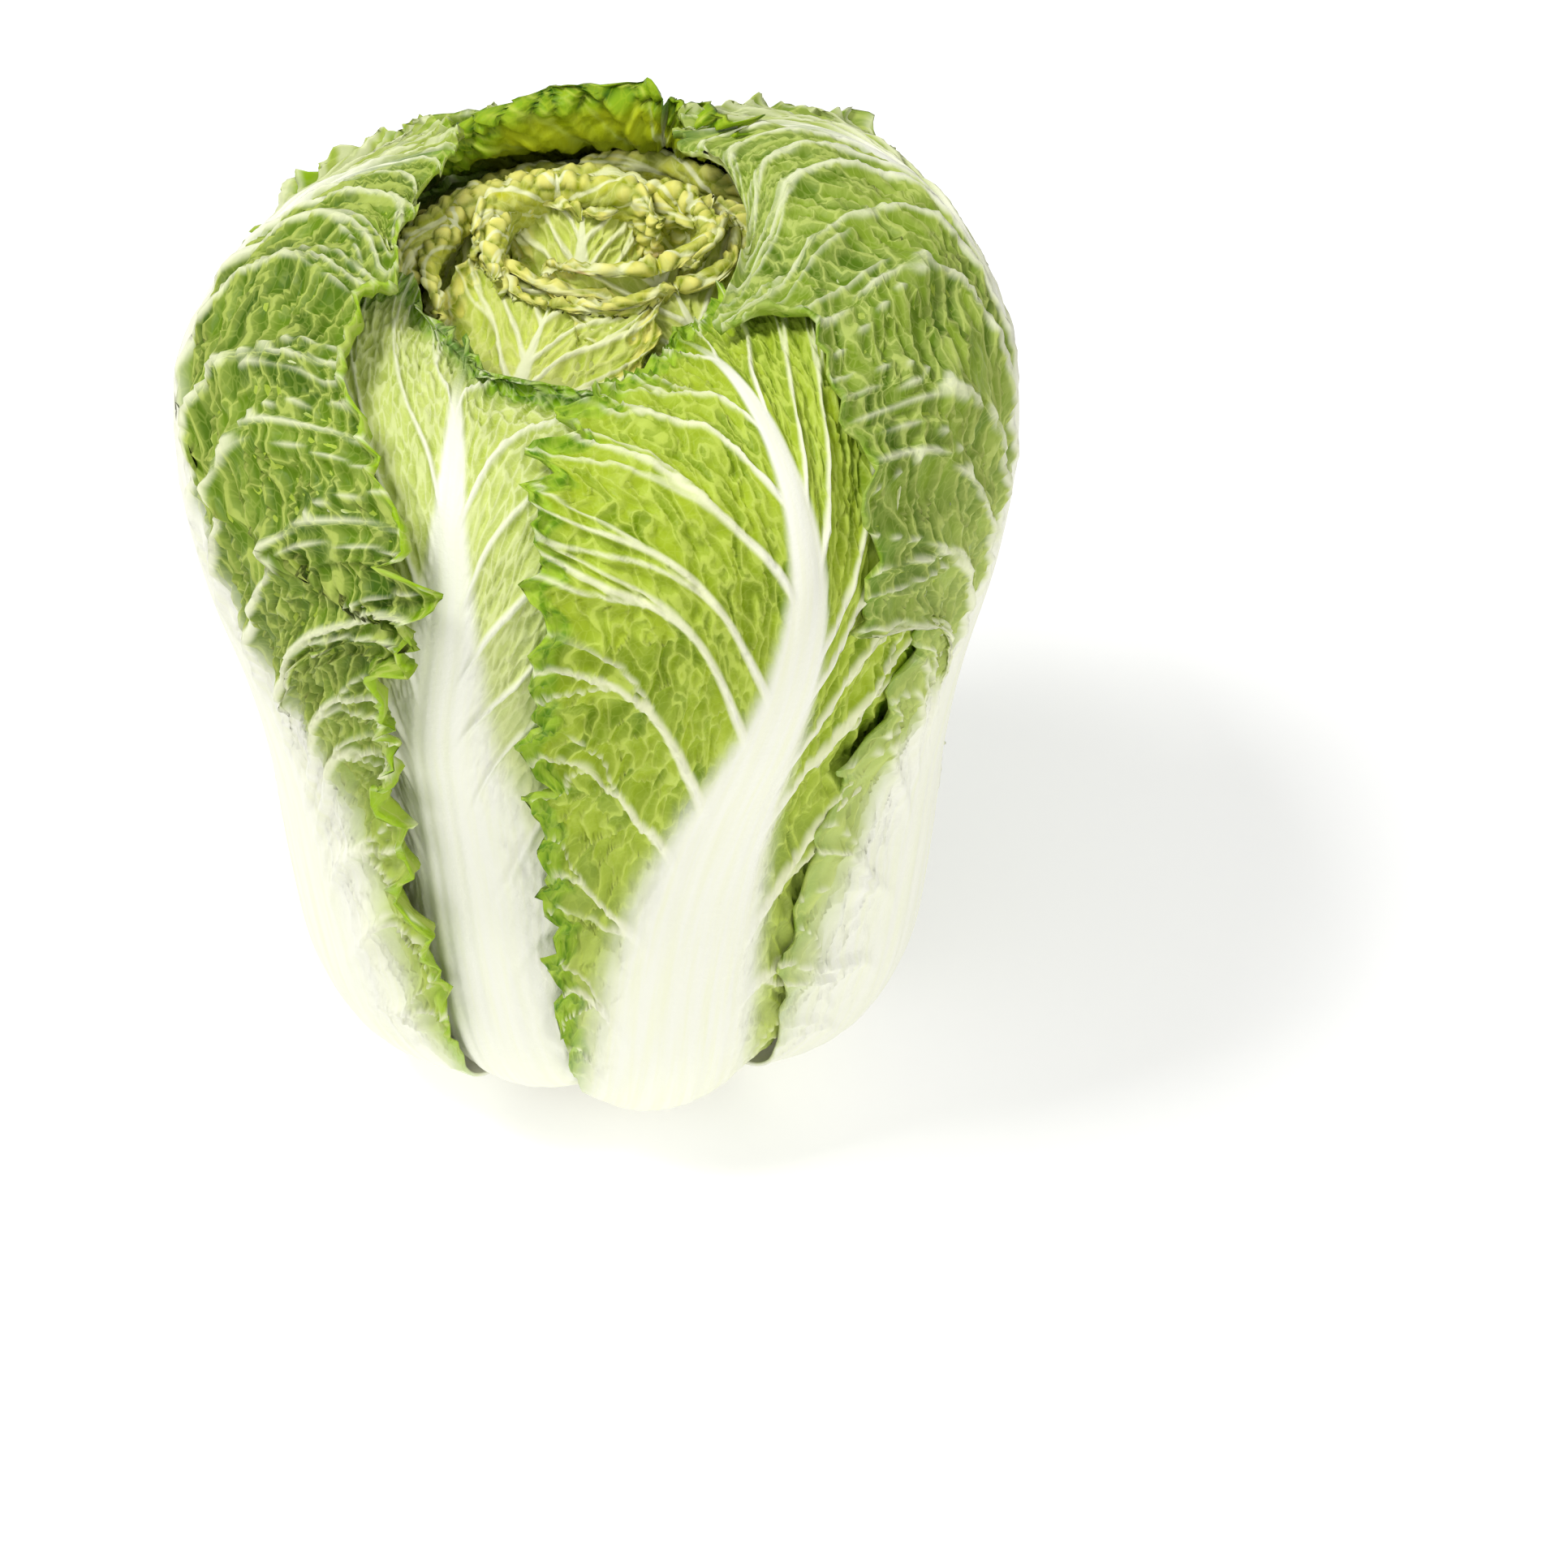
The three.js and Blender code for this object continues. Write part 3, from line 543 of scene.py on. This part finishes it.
def leaf_side(leaf, walk, side, seed):
    """One half of a leaf, midrib to margin, as arrays of rows by columns.

    twin: a seed that both halves share, for what has to match across the midrib."""
    rng, twin = np.random.default_rng(seed), seed % HALF_SEEDS
    length = leaf["length"]
    rows, outs = row_places(leaf["rows"]), column_places(leaf["columns"])
    row, out = np.meshgrid(rows, outs, indexing="ij")
    run = risen(row) * length
    across, along = flat_places(leaf, walk, side, row, out, run, rng, twin)
    base, normal = lay_on_head(leaf, walk, side, across, along, twin)
    walked = distance_from_midrib(base)
    to_margin = np.minimum(walked[:, -1:] - walked, (1 - row) * length)
    gap = row_gap(base, rows)
    lively = smooth(row, *leaf["calm"][side > 0])
    base, normal = roll_edge(leaf, side, row, run, lively, base, normal, walked, rng)

    # The side veins, the small veins, and a blister in each cell between them.
    blade = smooth(row, leaf["stalk_share"], leaf["stalk_share"] + 0.08)
    mains, forks = side_veins(leaf, outs, rng)
    vein, valley = raised_veins(leaf, row, gap, mains + forks)
    vein = vein * blade
    net = small_cells(row, walked, gap, mains, leaf, rng)
    tint = rng.uniform(size=CELL_KINDS)[net["number"]]
    deep = rng.uniform(0.6, 1.2, size=CELL_KINDS)[net["number"]]
    inward = np.clip(np.minimum(net["border"], valley * 0.8) / (0.45 * leaf["cell"]), 0, 1)
    blister = deep * (1 - (1 - inward) ** 2)
    ridged = np.exp(-((net["border"] / 0.8) ** 2)) * blade

    # Heights over the sheet's middle.
    rib, rib_share, beside_rib, stalk = rib_form(leaf, side, across, along)
    puffed = blade * beside_rib * (1 - 0.75 * stalk)
    trough = smooth(np.minimum(valley, 7), 0, 7) * smooth(out, 0.05, 0.3)
    sunk = leaf["relief"] * (0.62 * blister + 0.5 * trough) * puffed
    waved = edge_waves(leaf, side, row, run, lively, rng)
    slanted = row * length * ROW_SLANT
    crumple = leaf["crumple"] * leaf["relief"] * mottle(walked, slanted, 13, rng) * puffed
    rough = 0.22 * mottle(walked, slanted, 3.2, rng) * puffed
    ruffled = np.clip(1 - to_margin / leaf["ruffle_width"], 0, 1) ** 1.5
    middle = waved * ruffled - sunk * (1 - (1 - leaf["edge_relief"]) * ruffled) + rough + crumple
    puff, band = round_blisters(leaf, side, across, along, to_margin, twin)
    band = band * blade * (1 - rib_share)
    middle = middle - leaf["bubble"] * (puff - 0.5) * band
    raised = leaf["vein_height"] * vein * beside_rib + 0.4 * ridged * beside_rib
    outer = middle + BLADE / 2 + rib * RIB_OUTWARD + raised
    inner = middle - BLADE / 2 - rib * (1 - RIB_OUTWARD) - 0.25 * raised

    return dict(
        outer=base + normal * outer[..., None],
        inner=base + normal * inner[..., None],
        vein=np.clip(vein, 0, 1),
        lane=net["lane"], width=net["width"], rung=net["rung"], tint=tint, puff=puff, band=band,
        blade=blade * beside_rib,
        stalk=np.maximum(stalk, vein * (1 - smooth(out, 0.1, 0.75))),
        margin=np.clip(1 - to_margin / leaf["edge_band"], 0, 1),
        up=along / length,
        flat=np.stack([side * across, along, np.zeros_like(along)], axis=-1) * MM,
    )


def leaf_arrays(leaf, walk, seed):
    """Both halves side by side, as arrays of rows by columns from the left margin to the right."""
    left = leaf_side(leaf, walk, -1, seed)
    right = leaf_side(leaf, walk, 1, seed + HALF_SEEDS)
    # The halves meet in the midrib.
    return {key: np.concatenate([left[key][:, ::-1], right[key][:, 1:]], axis=1) for key in left}


def seam(fine, coarse):
    """Faces between a line of points and one with as many steps, or half as many."""
    faces = []
    for i in range(len(coarse) - 1):
        d, e = coarse[i], coarse[i + 1]
        if len(fine) == len(coarse):
            faces.append((fine[i], d, e, fine[i + 1]))
        else:
            a, b, c = fine[2 * i : 2 * i + 3]
            faces += [(a, d, b), (b, d, e), (b, e, c)]
    return faces


def grid_faces(numbers):
    """A face for each square of a grid of points' numbers."""
    a, b = numbers[:-1, :-1], numbers[:-1, 1:]
    c, d = numbers[1:, 1:], numbers[1:, :-1]
    return np.stack([a, b, c, d], axis=-1).reshape(-1, 4)


def rim(numbers):
    """The grid's outside, as four lines that follow each other round."""
    return [numbers[0, :], numbers[:, -1], numbers[-1, ::-1], numbers[::-1, 0]]


def build_mesh(name, points, faces):
    mesh = bpy.data.meshes.new(name)
    mesh.from_pydata(points.tolist(), [], faces)
    mesh.shade_smooth()
    return mesh


def add_values(mesh, values, kind="FLOAT"):
    """Keeps values at the mesh's points, for its material."""
    for name, value in values.items():
        layer = mesh.attributes.new(name, kind, "POINT")
        layer.data.foreach_set("vector" if kind == "FLOAT_VECTOR" else "value", value.ravel())


def add_object(name, data):
    new = bpy.data.objects.new(name, data)
    bpy.context.scene.collection.objects.link(new)
    return new


def add_piece(mesh, material, node):
    """A piece of the head, in place of a node of the frame."""
    piece = add_object(mesh.name, mesh)
    mesh.materials.append(material)
    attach(piece, "root")
    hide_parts(node)


# What a leaf's material reads from its mesh, besides inside and flat.
LOOKS = ("vein", "lane", "width", "rung", "blade", "tint", "puff", "band", "stalk", "margin", "up")


def leaf_mesh(name, arrays, fine="outer", shift=(0, 0, 0)):
    """A closed sheet. The face that isn't fine has half the rows and columns."""
    keep = {"outer": (1, 2), "inner": (2, 1), "both": (1, 1)}[fine]
    points, grids, values, flats, first = [], [], [], [], 0
    for face, step in zip(("outer", "inner"), keep):
        part = {key: value[::step, ::step] for key, value in arrays.items()}
        count = part["up"].size
        grids.append(first + np.arange(count).reshape(part["up"].shape))
        first += count
        points.append(part[face].reshape(-1, 3))
        looks = {key: part[key].ravel() for key in LOOKS}
        looks["inside"] = np.full(count, float(face == "inner"))
        values.append(looks)
        flats.append(part["flat"].reshape(-1, 3))
    outer, inner = grids
    faces = grid_faces(outer).tolist() + grid_faces(inner)[:, ::-1].tolist()
    for outer_line, inner_line in zip(rim(outer), rim(inner)):
        if fine == "inner":
            faces += [face[::-1] for face in seam(inner_line, outer_line)]
        else:
            faces += seam(outer_line, inner_line)
    mesh = build_mesh(name, (np.vstack(points) + np.array(shift)) * MM, faces)
    add_values(mesh, {key: np.concatenate([v[key] for v in values]) for key in values[0]})
    add_values(mesh, {"flat": np.vstack(flats)}, "FLOAT_VECTOR")
    return mesh


LEAF_DEFAULTS = dict(
    lean=0, inset=0, rib=1, midrib=[[0, 0], [1, 0]], round=False, fold=0, lip_start=1e4,
    curl=[0, 0], curl_width=6, wave=19, ruffle_width=15, calm=[[0.05, 0.25], [0.05, 0.25]],
    lobe=3.0, lobe_length=18, tooth=0.5, tip_lobe=0,
    side_veins=SIDE_VEINS, vein_width=2.2, vein_height=1.7, stalk_share=STALK_SHARE,
    cell=CELL, edge_relief=0.5, crumple=0.3,
    bubble=0.8, bubble_size=5, bubble_band=7, bubble_share=0,
    stalk_width=[[0, 1], [0.45, 1], [0.9, 0.55], [1, 0.55]], edge_band=EDGE_BAND, fine="outer",
)


def wrapping_leaf(leaf, walk, seed):
    """A leaf on the head's outline, or on its own."""
    leaf = {**LEAF_DEFAULTS, **leaf}
    if "outline" in leaf:
        walk = Walk(leaf["outline"])
    return leaf_mesh(leaf["name"], leaf_arrays(leaf, walk, seed), leaf["fine"])


def inner_leaf(leaf, walk, index):
    """One of the plainer leaves that hardly show."""
    margin = [[across, share * leaf["length"]] for across, share in INNER_MARGIN]
    plain = dict(
        leaf, name=f"inner_leaf_{index + 1}", rib=0.5, left=margin, right=margin,
        frill=[0.5, 0.5, 2], relief=1.2, rows=71, columns=25,
    )
    return wrapping_leaf(plain, walk, INNER_SEED + index)


def heart_leaf(leaf, index):
    """A small crumpled leaf that wraps a line of its own, with a rolled edge at its tip."""
    azimuth, axis, half_width, lip_size, relief, path = leaf
    far, high = path[-1]
    walk = Walk(path + [[far + out * lip_size, high + up * lip_size] for out, up in LIP], 300, 0.5)
    length = walk.distance[-2]
    margin = [[share * half_width, up * length] for share, up in HEART_MARGIN]
    in_front = index < len(HEART_FRONT)
    spec = dict(
        LEAF_DEFAULTS, azimuth=azimuth, length=length, rib=0.2, left=margin, right=margin,
        rows=85, columns=45, round=True, fold=1.3,
        frill=[2.2, 2.2, 2.4], wave=9, ruffle_width=12, curl=[40, 40],
        lobe=1.6, lobe_length=10, tooth=0.3, tip_lobe=3.5,
        side_veins=6, vein_width=1.1 if in_front else 0.5, vein_height=0.6, stalk_share=0,
        cell=4.5, relief=relief, edge_relief=0.6, crumple=0.15,
        bubble=2.1, bubble_size=4.4, bubble_band=12 if in_front else 16,
    )
    arrays, fine = leaf_arrays(spec, walk, HEART_SEED + index), "outer" if in_front else "inner"
    return leaf_mesh(f"heart_leaf_{index + 1}", arrays, fine, (*axis, 0))


# ---- Round bodies --------------------------------------------------------------------------

def round_mesh(name, outline, bumps, rings, segments):
    """A body turned from an outline that starts and ends on the axis, with bumps in millimetres."""
    walk = Walk(outline, 800, beyond=0.001)
    along = np.linspace(0, walk.distance[-2], rings)
    radius, height, out, up = walk.at(along)
    angle = np.linspace(0, 2 * math.pi, segments, endpoint=False)
    radius, turn = np.meshgrid(radius, angle, indexing="ij")
    height = np.repeat(height[:, None], segments, axis=1)
    raised = bumps(turn, along[:, None] + 0 * turn)
    far = radius + out[:, None] * raised * (radius > 0.5)
    high = np.maximum(height + up[:, None] * raised, 0)
    points = np.stack([far * np.cos(turn), far * np.sin(turn), high], axis=-1)
    numbers = np.arange(rings * segments).reshape(rings, segments)
    closed = np.concatenate([numbers, numbers[:, :1]], axis=1)
    ends = [numbers[0].tolist(), numbers[-1, ::-1].tolist()]
    faces = grid_faces(closed)[:, ::-1].tolist() + ends
    return build_mesh(name, points.reshape(-1, 3) * MM, faces)


# ---- Materials -----------------------------------------------------------------------------

def linear(code):
    """A linear colour from its usual six-digit code."""
    parts = [int(code[i : i + 2], 16) / 255 for i in (0, 2, 4)]
    return (*[p / 12.92 if p <= 0.04045 else ((p + 0.055) / 1.055) ** 2.4 for p in parts], 1)


class Shader:
    """Short calls for building one material's nodes."""

    def __init__(self, name):
        self.material = bpy.data.materials.new(name)
        self.material.use_nodes = True
        self.tree = self.material.node_tree
        self.surface = self.tree.nodes["Principled BSDF"]

    def link(self, value, socket):
        """Gives a socket what it takes: a node's result, a number, or a colour's six-digit code."""
        if isinstance(value, bpy.types.NodeSocket):
            self.tree.links.new(value, socket)
        else:
            socket.default_value = linear(value) if isinstance(value, str) else value

    def node(self, kind, inputs=(), **settings):
        node = self.tree.nodes.new("ShaderNode" + kind)
        for key, value in settings.items():
            setattr(node, key, value)
        for name, value in dict(inputs).items():
            self.link(value, node.inputs[name])
        return node

    def value(self, name):
        """A number kept at the mesh's points."""
        return self.node("Attribute", attribute_name=name).outputs["Fac"]

    def place(self):
        """A point's place on the flat leaf."""
        return self.node("Attribute", attribute_name="flat").outputs["Vector"]

    def scaled(self, vector, scale):
        return self.node("Mapping", dict(Vector=vector, Scale=scale)).outputs["Vector"]

    def math(self, operation, *values):
        return self.node("Math", enumerate(values), operation=operation).outputs["Value"]

    def times(self, one, other):
        return self.math("MULTIPLY", one, other)

    def mix(self, share, first, second):
        """A colour between two, whose sockets have the numbers 6 and 7, and 2 for the result."""
        inputs = {"Factor": share, 6: first, 7: second}
        return self.node("Mix", inputs, data_type="RGBA").outputs[2]

    def between(self, value, low, high, from_value=0.0, to_value=1.0):
        """A soft slope from one value at low to another at high."""
        inputs = enumerate((value, low, high, from_value, to_value))
        return self.node("MapRange", inputs, interpolation_type="SMOOTHSTEP").outputs["Result"]

    def noise(self, vector, scale, detail=3.0):
        inputs = dict(Vector=vector, Scale=scale, Detail=detail, Roughness=0.55)
        return self.node("TexNoise", inputs).outputs["Fac"]

    def cracks(self, vector, scale):
        inputs = dict(Vector=vector, Scale=scale)
        return self.node("TexVoronoi", inputs, feature="DISTANCE_TO_EDGE").outputs["Distance"]

    def bump(self, height, strength, distance):
        inputs = dict(Height=height, Strength=strength, Distance=distance)
        self.set(Normal=self.node("Bump", inputs).outputs["Normal"])

    def set(self, **values):
        for name, value in values.items():
            self.link(value, self.surface.inputs[name.replace("_", " ")])


def small_veins(s):
    """How far a point is from the nearest small vein, as small_cells has it, in millimetres.

    Along the band that holds for cells of the usual size."""
    rung, lane, do, times = s.value("rung"), s.value("lane"), s.math, s.times
    meet = do("ROUND", lane)
    turned = do("ADD", rung, times(do("PINGPONG", do("ADD", meet, 1.0), 1.0), 0.5))
    peak = do("SUBTRACT", times(do("PINGPONG", turned, 0.5), 4.0), 1.0)
    aside = do("SUBTRACT", lane, do("ADD", meet, times(peak, CELL_PEAK)))
    own = do("ADD", do("SUBTRACT", meet, 1.0), do("GREATER_THAN", aside, 0.0))
    phase = do("ADD", rung, times(do("PINGPONG", own, 1.0), 0.5))
    to_rung = times(do("PINGPONG", phase, 0.5), float(CELL))
    return do("MINIMUM", to_rung, times(do("ABSOLUTE", aside), s.value("width")))


def blade_colour(s, look, patches, margin):
    """The blade between its veins: uneven greens, paler low down, with its own edge, and painted
    shade and highlight on the round blisters.
    """
    shade = s.between(s.math("ADD", s.times(s.value("tint"), 0.4), patches), 0.35, 1.0)
    blade = s.mix(shade, look["deep"], look["light"])
    if "pale" in look:
        blade = s.mix(s.between(s.value("up"), *look["pale_until"]), look["pale"], blade)
    inside = s.mix(shade, look["inside"][0], look["inside"][1])
    blade = s.mix(s.value("inside"), blade, inside)
    edge_mask = s.between(s.math("ADD", margin, s.times(patches, 0.5)), 0.45, 1.25)
    blade = s.mix(s.times(edge_mask, look["edge_share"]), blade, look["edge"])
    if "puff_shade_and_light" in look:
        # The first colour is painted shade between the round blisters, the second a painted highlight
        # on their middles.
        low, high = look["puff_shade_and_light"]
        puff_painted_light = s.mix(s.between(s.value("puff"), 0.2, 0.95), low, high)
        blade = s.mix(s.between(s.value("band"), 0.35, 1.0, 0.0, 0.9), blade, puff_painted_light)
    return blade


def veined(s, look, blade, flat):
    """The blade's colour with its hairlines, small veins and side veins over it, and painted shade in
    the middles of the small veins' cells.
    """
    fine = s.between(s.cracks(flat, HAIRLINE_SCALE), 0.015, 0.1, 1.0, 0.0)
    blade = s.mix(s.times(fine, 0.2), blade, look["small"])
    border = s.math("ADD", small_veins(s), s.value("band")) if "puff_shade_and_light" in look else small_veins(s)
    net = s.times(s.between(border, 0.25, 0.8, 1.0, 0.0), s.value("blade"))
    # Paler round the small veins and darker in each cell's hollow middle: partly the leaf's paler
    # tissue by its veins, partly painted shade in the hollows.
    halo_and_hollow_shade = s.times(s.between(border, 0.3, 2.6, 0.35, 0.0), s.value("blade"))
    blade = s.mix(s.math("MAXIMUM", halo_and_hollow_shade, s.times(net, look["net_share"])), blade, look["small"])
    tip_veins = look.get("tip_veins", 1.0)
    shown = s.between(s.value("up"), 0.72, 0.95, 0.95, 0.95 * tip_veins)
    veins = s.between(s.value("vein"), 0.1, 0.6)
    return s.mix(s.times(veins, shown), blade, look["vein"])


def leaf_material(name, look):
    """A leaf: its veined blade, its white stalk and its stains."""
    s = Shader(name)
    flat, margin = s.place(), s.value("margin")
    patches = s.noise(flat, 38)
    blade = veined(s, look, blade_colour(s, look, patches, margin), flat)
    white = look.get("white", "f4f4e6")
    streaks = s.noise(s.scaled(flat, (420, 18, 1)), 1.0, 4.0)
    stalk = s.mix(s.between(streaks, 0.35, 0.75), white, s.mix(0.5, white, look["vein"]))
    colour = s.mix(s.between(s.value("stalk"), 0.1, 0.85), blade, stalk)
    if "brown" in look:
        blotches = s.between(s.noise(flat, 90, 5.0), 0.56, 0.72)
        stains = s.times(blotches, s.between(margin, 0.3, 1.0))
        colour = s.mix(s.times(stains, look["brown"]), colour, "a8743a")
    roughness = s.between(s.noise(flat, 200), 0.3, 0.8, 0.4, 0.6)
    s.set(Base_Color=colour, Roughness=roughness, Specular_IOR_Level=0.13)
    s.bump(s.noise(flat, 700, 2.0), 0.35, 0.0004)
    return s.material


def flesh_material(name, colour, darker, scale):
    """Bare plant tissue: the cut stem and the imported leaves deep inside."""
    s = Shader(name)
    place = s.node("NewGeometry").outputs["Position"]
    spots = s.between(s.noise(place, scale, 6.0), 0.4, 0.7)
    s.set(
        Base_Color=s.mix(spots, colour, darker),
        Roughness=s.between(s.noise(place, scale * 3), 0.3, 0.8, 0.5, 0.75),
    )
    s.bump(s.noise(place, scale * 4, 6.0), 0.4, 0.0006)
    return s.material


HAIRLINE_SCALE = 420  # how many cells the hairlines make along a metre of leaf
# The leaves' colours. deep, light: the blade; inside: the same on its inner face; pale: near the
# base, between the shares pale_until; edge, edge_share: the margin's colour, and how strong it is;
# puff_shade_and_light: painted shade between the round blisters, and a painted highlight on them;
# vein: side veins; tip_veins: how much of them shows at the tip; small, net_share: small veins, and
# how strong they are; white: the stalk; brown: how strong the stains at the margin are.
LEAF_LOOKS = {
    "dark_leaf": dict(
        deep="3c5c06", light="6c8c18", inside=("8aa428", "b4c94a"),
        pale="b6ca58", pale_until=(0.35, 0.8), edge="98c012", edge_share=0.8,
        vein="eef1c8", tip_veins=0.88, small="b9c862", net_share=0.8,
    ),
    "grey_leaf": dict(
        deep="547410", light="8aa42e", inside=("8fa72c", "b6ca50"),
        pale="c0d078", pale_until=(0.4, 0.9), edge="66941a", edge_share=0.4,
        vein="f0f3cc", tip_veins=0.88, small="c4d272", net_share=0.75,
    ),
    "bright_leaf": dict(
        deep="749008", light="a9be2c", inside=("9fb62c", "c0d250"),
        pale="c9d67c", pale_until=(0.1, 0.55), edge="70a20a", edge_share=0.5,
        puff_shade_and_light=("5c8c0c", "a4c634"), vein="f0f2c8", small="c4d65c", net_share=0.8,
    ),
    "pale_leaf": dict(
        deep="a4b63a", light="c5d366", inside=("b3c344", "cfda6c"),
        pale="dfe6ae", pale_until=(0.35, 0.9), edge="4a7c04", edge_share=0.95,
        puff_shade_and_light=("3e6c04", "8cb41c"), vein="f2f4d2", small="dfe7a2", net_share=0.8,
    ),
    "standing_leaf": dict(
        deep="557f0a", light="7da31a", inside=("8c9f04", "bcc620"), edge="3f7804", edge_share=0.9,
        puff_shade_and_light=("345e04", "8fb41c"), vein="c0d050", small="bccb30", net_share=0.5,
    ),
    # The heart's inner-face greens, darker than its outer face, are partly the inner leaves' own
    # yellow-green, partly painted shade deep in the crown.
    "heart_leaf": dict(
        deep="a8bb34", light="cdd862", inside=("8c9c04", "c2c41c"), edge="d8d85c", edge_share=0.4,
        puff_shade_and_light=("849400", "f2ea80"), vein="f0f2c0", small="e2e78e", net_share=0.6,
        white="eef1c4", brown=0.7,
    ),
}
MATERIALS = {name: leaf_material(name, look) for name, look in LEAF_LOOKS.items()}


# ---- The head ------------------------------------------------------------------------------

head_walk = Walk(HEAD_OUTLINE)

for index, leaf in enumerate(WRAPPING_LEAVES):
    mesh = wrapping_leaf(leaf, head_walk, WRAPPING_SEED + index)
    add_piece(mesh, MATERIALS[leaf["material"]], leaf["name"])
for index, leaf in enumerate(INNER_LEAVES):
    node = f"inner_leaf_{index + 1}"
    add_piece(inner_leaf(leaf, head_walk, index), MATERIALS["pale_leaf"], node)
for index, leaf in enumerate(HEART_FRONT + HEART_REST):
    add_piece(heart_leaf(leaf, index), MATERIALS["heart_leaf"], "heart")

core_rng = np.random.default_rng(CORE_SEED)


def core_bumps(turn, along):
    """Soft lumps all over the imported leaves; turn * 45 is about a distance round them."""
    return 1.2 * mottle(turn * 45, along, 9, core_rng)


def stem_bumps(turn, along):
    """Faint ribs up the stem, above its cut."""
    return 0.25 * np.sin(turn * 23) * smooth(along, 31, 35)


core = round_mesh("heart_core", [[0, 90]] + HEART_OUTLINE, core_bumps, 60, 96)
add_piece(core, flesh_material("heart_inside", "b9c06a", "8f9c3e", 60), "heart")
stem = round_mesh("cut_stem", STEM_OUTLINE, stem_bumps, 40, 120)
add_piece(stem, flesh_material("stem", "efe9d6", "d9c9a4", 70), "stem")

# ---- Floor, light and camera ---------------------------------------------------------------

FLOOR_REACH = 4  # from the middle to each side
floor_mesh = bpy.data.meshes.new("floor")
corners = [(x * FLOOR_REACH, y * FLOOR_REACH, 0) for x, y in ((-1, -1), (1, -1), (1, 1), (-1, 1))]
floor_mesh.from_pydata(corners, [], [(0, 1, 2, 3)])
floor = add_object("floor", floor_mesh)
floor_shader = Shader("floor")
floor_shader.set(
    Base_Color="fafafa", Roughness=0.8, Specular_IOR_Level=0.1,
    Emission_Color="ffffff", Emission_Strength=0.28,
)
floor_mesh.materials.append(floor_shader.material)

world = bpy.data.worlds.new("world")
bpy.context.scene.world = world
world.use_nodes = True
background = world.node_tree.nodes["Background"].inputs
background["Color"].default_value = (1, 1, 1, 1)
background["Strength"].default_value = 0.55


def add_light(name, place, aim, size, power):
    """A square light at a place, turned to what it aims at."""
    light = bpy.data.lights.new(name, "AREA")
    light.energy, light.size = power, size
    lamp = add_object(name, light)
    lamp.location = place
    lamp.rotation_euler = (Vector(aim) - Vector(place)).to_track_quat("-Z", "Y").to_euler()


HEAD_MIDDLE = (0, 0, 0.13)
add_light("key", (-0.5, -0.2, 1.25), HEAD_MIDDLE, 0.35, 9)
add_light("fill", (0.7, -1.1, 0.75), HEAD_MIDDLE, 1.0, 3)

# The camera looks down at 45 degrees from the front. The crown's middle is left of and above
# the picture's, as in the photograph.
VIEW_ELEVATION = math.radians(45)
VIEW_DISTANCE = 1.2
CROWN = Vector((0, 0, 0.19))
CROWN_PIXEL = (736, 490)
FRAME_PIXELS = 1932
FOCAL_PIXELS = 6665
SENSOR_WIDTH = 36

ahead = Vector((0, math.cos(VIEW_ELEVATION), -math.sin(VIEW_ELEVATION)))
right = Vector((1, 0, 0))
up = right.cross(ahead)
metres_per_pixel = VIEW_DISTANCE / FOCAL_PIXELS
beside = (CROWN_PIXEL[0] - FRAME_PIXELS / 2) * metres_per_pixel
above = (FRAME_PIXELS / 2 - CROWN_PIXEL[1]) * metres_per_pixel
camera_data = bpy.data.cameras.new("camera")
camera_data.sensor_width = SENSOR_WIDTH
camera_data.lens = SENSOR_WIDTH * FOCAL_PIXELS / FRAME_PIXELS
camera = add_object("camera", camera_data)
camera.location = CROWN - ahead * VIEW_DISTANCE - right * beside - up * above
camera.rotation_euler = Euler((math.pi / 2 - VIEW_ELEVATION, 0, 0))
bpy.context.scene.camera = camera
bpy.context.scene.view_settings.view_transform = "Standard"
